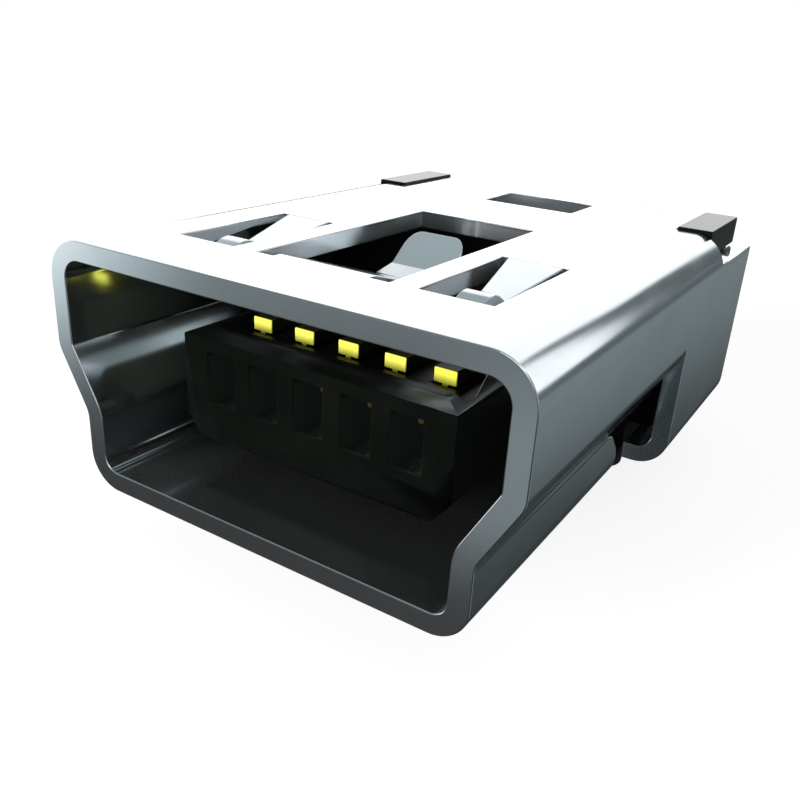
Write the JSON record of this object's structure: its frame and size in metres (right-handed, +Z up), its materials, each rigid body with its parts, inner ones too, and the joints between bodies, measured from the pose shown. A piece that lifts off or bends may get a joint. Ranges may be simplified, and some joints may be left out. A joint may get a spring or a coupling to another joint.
{
  "type": "mini type-b socket",
  "caption": "Surface-mount mini type-B socket: folded metal shell with a keyed mouth, window tab and spring fingers round a black tongue with gold contacts.",
  "frame": {"origin": "on the board plane, midway between the two locating pegs", "axes": "+Y from the mouth into the socket, +Z up from the board, +X across the mouth"},
  "size_m": [0.0074, 0.0106, 0.0046],
  "materials": {
    "plated_sheet": "bright tin-nickel plate",
    "black_moulding": "fine satin",
    "gold_plate": "gold plate"
  },
  "bodies": {
    "root": {"shell": "plated_sheet", "housing": "black_moulding", "contact_1": "gold_plate", "contact_2": "gold_plate", "contact_3": "gold_plate", "contact_4": "gold_plate", "contact_5": "gold_plate"}
  },
  "joints": []
}
